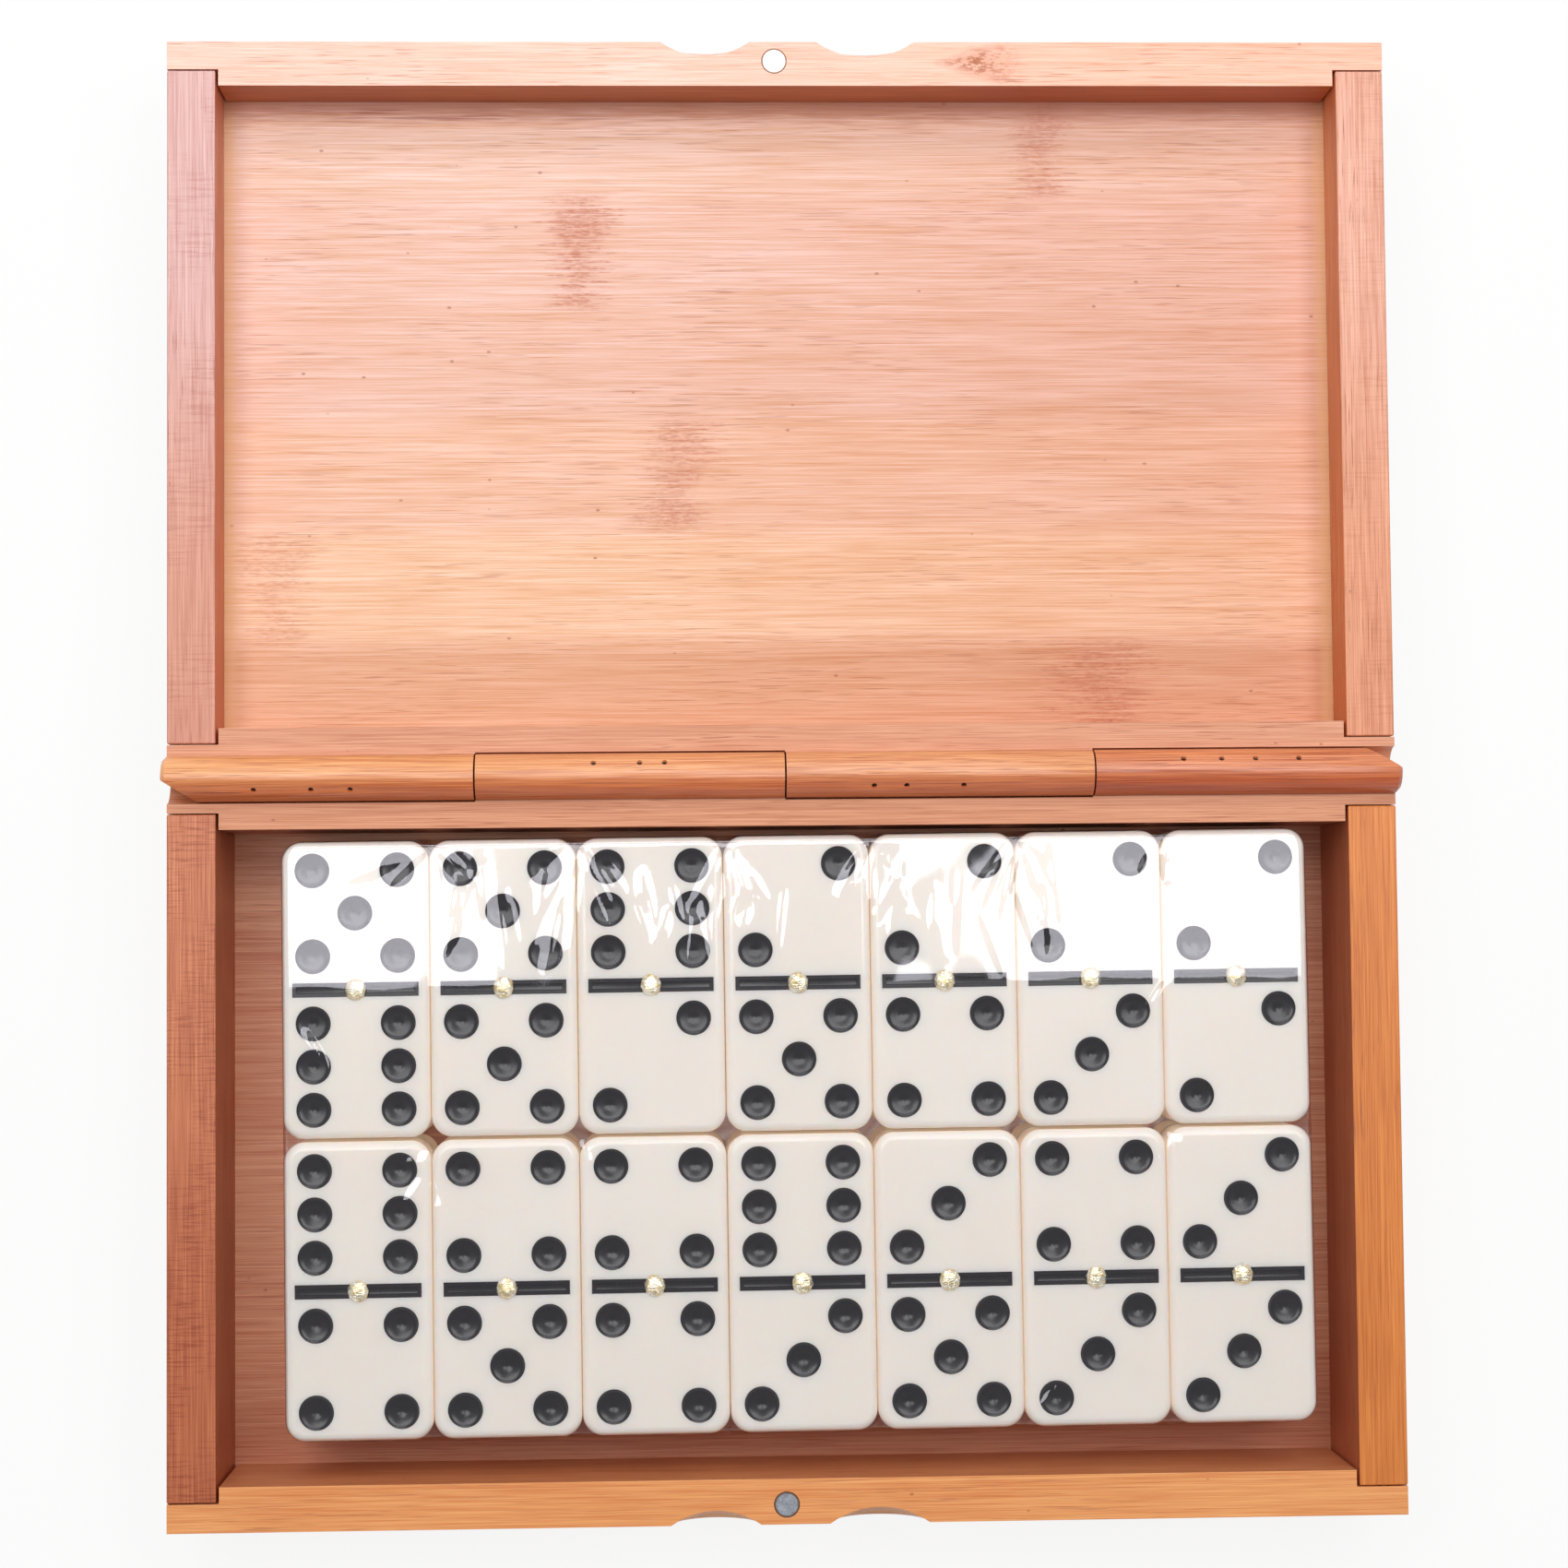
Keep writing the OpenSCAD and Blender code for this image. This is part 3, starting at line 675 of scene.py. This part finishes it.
# Wrinkles of the film that run out from where it is gathered, in the pack's own frame:
# (x, y, direction in degrees, spread in degrees, count, length)
FILM_FANS = [
    (-61.5, 50, -150, 50, 8, 15), (-61.5, 50, -60, 50, 6, 12),
    (-36.5, 50, -120, 50, 8, 17), (-36.5, 50, -60, 45, 7, 16),
    (-12, 50, -110, 40, 7, 17), (-12, 50, -70, 40, 6, 14),
    (13, 50, -105, 45, 6, 14), (13, 50, -70, 40, 6, 17), (38, 50, -105, 50, 6, 12),
    (38, 50, -60, 40, 5, 10), (63, 50, -90, 70, 5, 8),
    (64, 26, -120, 24, 6, 13), (38, -50, 58, 22, 6, 16), (62, -50, 50, 30, 4, 8),
    (-37, -50, 125, 40, 4, 9), (13, -50, 100, 60, 4, 7), (-62, 0, -110, 90, 8, 9),
    (63, 0, -80, 60, 5, 9), (-84, 20, -70, 30, 5, 14), (-37, 0, -90, 60, 4, 6),
]
# Longer, lower wrinkles from the back edge over the upper halves of the back row
FILM_LONG_FANS = 34
FILM_STEP = (0.4, 0.52)
FILM_EDGE_R = 1.6
FILM_CORNER_R = 3.6
# How far the skin stays inside the CAD shell at its ends and at its front and back
FILM_INSET = (0.35, 0.55)
# Height of the skin at the edge and over the rivets, above the tiles' faces
FILM_LOW = 0.14
FILM_TENT = 0.84
FILM_WAVES = 14
FILM_PLEAT = 0.10
# Shares of the pack's height at which the sides have a ring of points
FILM_DEPTHS = (0.2, 0.45, 0.7, 0.93, 0.995, 1)


def film_rise(x, y, rng):
    """Height of the film above the tiles' faces. It hangs like a tent from the rivets' heads."""
    column = numpy.abs((x / TILE_PITCH[0] + 0.5) % 1 - 0.5) * 2
    from_row = numpy.abs(numpy.abs(y) - TILE_PITCH[1] / 2)
    outside = numpy.abs(y) > TILE_PITCH[1] / 2
    across = numpy.where(outside, 1 - from_row / 25, 1 - 0.68 * (from_row / TILE_PITCH[1] * 2) ** 0.9)
    ends = 1 - 0.5 * numpy.clip((numpy.abs(x) - 75) / 12, 0, 1)
    rise = FILM_LOW + FILM_TENT * numpy.clip(across, 0, 1) * (1 - 0.14 * column) * ends
    for _ in range(FILM_WAVES):
        length = rng.uniform(9, 24)
        angle = rng.uniform(0, math.pi)
        phase = rng.uniform(0, 2 * math.pi)
        wave = (x * math.cos(angle) + y * math.sin(angle)) * 2 * math.pi / length + phase
        rise += 0.0010 * length * numpy.sin(wave)
    return rise


def film_wrinkles(x, y, rng):
    """Narrow straight ridges that run out from each fan."""
    rise = numpy.zeros_like(x)
    fans = list(FILM_FANS)
    for _ in range(FILM_LONG_FANS):
        fans.append((rng.uniform(-58, 45), rng.uniform(40, 50), rng.uniform(-115, -65), 8, 2, 14))
    for start_x, start_y, direction, spread, count, length in fans:
        for _ in range(count):
            angle = math.radians(direction + rng.uniform(-spread, spread) / 2)
            away = rng.uniform(0.5, 3.5)
            reach = length * rng.uniform(0.35, 1)
            width = rng.uniform(0.35, 0.95)
            tall = width * rng.uniform(0.1, 0.24) * rng.choice((1, 1, -1))
            dx, dy = math.cos(angle), math.sin(angle)
            along = (x - start_x) * dx + (y - start_y) * dy - away
            side = (x - start_x) * dy - (y - start_y) * dx
            share = numpy.clip(along / reach, 0, 1)
            taper = numpy.where((along > 0) & (along < reach), numpy.sin(math.pi * share) ** 0.7, 0)
            rise += tall * taper * numpy.exp(-((side / width) ** 2))
    return rise


def film():
    """Clear shrink film: a wrinkled top sheet, sides and an underside in one closed skin."""
    rng = random.Random(5)
    half_x = (film_high.x - film_low.x) / 2 / MM - FILM_INSET[0]
    half_y = (film_high.y - film_low.y) / 2 / MM - FILM_INSET[1]
    columns = int(2 * half_x / FILM_STEP[0])
    rows = int(2 * half_y / FILM_STEP[1])
    share_x = numpy.linspace(-1, 1, columns + 1)
    y = numpy.linspace(-half_y, half_y, rows + 1)
    share_x, y = numpy.meshgrid(share_x, y)
    past = numpy.clip(numpy.abs(y) - (half_y - FILM_CORNER_R), 0, FILM_CORNER_R)
    width = half_x - FILM_CORNER_R + numpy.sqrt(FILM_CORNER_R ** 2 - past ** 2)
    x = share_x * width
    edge = numpy.minimum(width - numpy.abs(x), half_y - numpy.abs(y))
    drop = numpy.clip(FILM_EDGE_R - edge, 0, FILM_EDGE_R)
    fall = FILM_EDGE_R - numpy.sqrt(FILM_EDGE_R ** 2 - drop ** 2)
    z = film_rise(x, y, rng) + film_wrinkles(x, y, rng) - fall

    mesh = bmesh.new()
    place = (
        Matrix.Translation(Vector((PACK_MIDDLE.x, PACK_MIDDLE.y, TILE_FACE)) * MM)
        @ Matrix.Rotation(PACK_TURN, 4, "Z") @ Matrix.Scale(MM, 4)
    )
    grid = [
        [mesh.verts.new(place @ Vector((x[j, i], y[j, i], z[j, i]))) for i in range(columns + 1)]
        for j in range(rows + 1)
    ]
    for j in range(rows):
        for i in range(columns):
            mesh.faces.new((grid[j][i], grid[j][i + 1], grid[j + 1][i + 1], grid[j + 1][i]))
    border = [(0, i) for i in range(columns)] + [(j, columns) for j in range(rows)]
    border += [(rows, i) for i in range(columns, 0, -1)] + [(j, 0) for j in range(rows, 0, -1)]
    rings = [[grid[j][i] for j, i in border]]
    underside = film_low.z / MM - TILE_FACE
    top = -FILM_EDGE_R
    for depth in FILM_DEPTHS:
        inset = 0.6 if depth == 1 else 0
        ring = []
        for j, i in border:
            pleat = FILM_PLEAT * math.sin(i * 0.31) * math.sin(j * 0.43 + i * 0.07)
            pleat *= math.sin(depth * math.pi)
            shrink = 1 - (inset + 0.05 - pleat) / half_x
            ring.append(mesh.verts.new(place @ Vector((
                x[j, i] * shrink, y[j, i] * shrink, top + (underside - top) * depth
            ))))
        rings.append(ring)
    ring_strip(mesh, rings)
    mesh.faces.new(rings[-1])
    make_piece("film", mesh, "domino_pack", clear_film(), "shrink_film", 50)


pips_and_grooves()
rivets()
film()


# Floor, lights and camera

# Half the floor's side in metres, and how much of its shadow the camera doesn't see
FLOOR_REACH = 3.0
FLOOR_GLOW = 0.88


def floor():
    """A plain pale floor, which the camera sees as white with the object's shadow on it."""
    reach = FLOOR_REACH
    mesh = bpy.data.meshes.new("floor")
    corners = [(-reach, -reach, 0), (reach, -reach, 0), (reach, reach, 0), (-reach, reach, 0)]
    mesh.from_pydata(corners, [], [(0, 1, 2, 3)])
    plane = bpy.data.objects.new("floor", mesh)
    bpy.context.scene.collection.objects.link(plane)
    s = Shader("floor_white")
    path = s.add("LightPath").outputs
    seen = s.math("MAXIMUM", path["Is Camera Ray"], path["Is Glossy Ray"])
    seen = s.math("MAXIMUM", seen, path["Is Transmission Ray"])
    grain = s.noise(s.scaled(s.place(), (0.02, 0.02, 0.02)), 2)
    s.set(Base_Color=s.mix(grain, srgb(244, 244, 244), srgb(240, 240, 240)), Roughness=0.9)
    white = s.add("Emission", {"Color": (1, 1, 1, 1), "Strength": 1.0})
    share = s.math("MULTIPLY", seen, FLOOR_GLOW)
    both = s.add("MixShader", {0: share, 1: s.bsdf.outputs[0], 2: white.outputs[0]})
    s.links.new(both.outputs[0], s.nodes["Material Output"].inputs["Surface"])
    mesh.materials.append(s.material)


FILL = 0.25
# Name, x from and to, y from and to, height above the rims, watts
SOFTBOXES = [
    ("softbox_left", -400, -81, -40, 340, 600, 1.62),
    ("softbox_right", 79, 400, -40, 340, 600, 1.62),
    ("softbox_back", -75, 75, 120, 340, 600, 0.49),
    ("softbox_far", -350, 350, 470, 800, 560, 2.2),
]


def surroundings():
    """A dim even fill, with a white background for what the camera sees."""
    world = bpy.data.worlds.new("studio")
    bpy.context.scene.world = world
    world.use_nodes = True
    nodes = world.node_tree.nodes
    links = world.node_tree.links
    back = nodes["Background"]
    back.inputs["Color"].default_value = (1, 1, 1, 1)
    path = nodes.new("ShaderNodeLightPath")
    height = nodes.new("ShaderNodeSeparateXYZ")
    links.new(nodes.new("ShaderNodeTexCoord").outputs["Generated"], height.inputs[0])

    def math_node(operation, a, b):
        node = nodes.new("ShaderNodeMath")
        node.operation = operation
        for socket, value in zip(node.inputs, (a, b)):
            if isinstance(value, bpy.types.NodeSocket):
                links.new(value, socket)
            else:
                socket.default_value = value
        return node.outputs[0]

    low = math_node("LESS_THAN", height.outputs["Z"], 0.5)
    mirror = math_node("MAXIMUM", path.outputs["Is Glossy Ray"], path.outputs["Is Transmission Ray"])
    seen = math_node("MAXIMUM", path.outputs["Is Camera Ray"], math_node("MULTIPLY", low, mirror))
    links.new(math_node("MAXIMUM", seen, FILL), back.inputs["Strength"])


def softbox(name, x0, x1, y0, y1, height, watts):
    """A rectangular lamp that faces down, height above the rims."""
    lamp = bpy.data.lights.new(name, "AREA")
    lamp.shape = "RECTANGLE"
    lamp.size = (x1 - x0) * MM
    lamp.size_y = (y1 - y0) * MM
    lamp.energy = watts
    holder = bpy.data.objects.new(name, lamp)
    holder.location = Vector(((x0 + x1) / 2, (y0 + y1) / 2, RIM_Z + height)) * MM
    holder.visible_camera = False
    bpy.context.scene.collection.objects.link(holder)


# The camera's place from the middle of the hinge axis, its turn in radians,
# and its focal length in pixels of the photograph
PHOTO_W = 1700
FOCAL_PX = 3411.2
CAMERA_PLACE = (-19.35, -26.99, 534.11)
CAMERA_TURN = (-0.0476, 0.0358, 0.0074)


def camera():
    data = bpy.data.cameras.new("camera")
    data.sensor_width = 36
    data.lens = FOCAL_PX / PHOTO_W * data.sensor_width
    holder = bpy.data.objects.new("camera", data)
    bpy.context.scene.collection.objects.link(holder)
    rx, ry, rz = CAMERA_TURN
    turn = (
        Matrix.Rotation(rz, 3, "Z") @ Matrix.Rotation(ry, 3, "Y") @ Matrix.Rotation(rx, 3, "X")
    )
    place = (Vector(CAMERA_PLACE) + Vector((0, 0, RIM_Z))) * MM
    holder.matrix_world = Matrix.Translation(place) @ turn.transposed().to_4x4()
    bpy.context.scene.camera = holder


floor()
surroundings()
for values in SOFTBOXES:
    softbox(*values)
camera()
bpy.context.scene.view_settings.view_transform = "Standard"
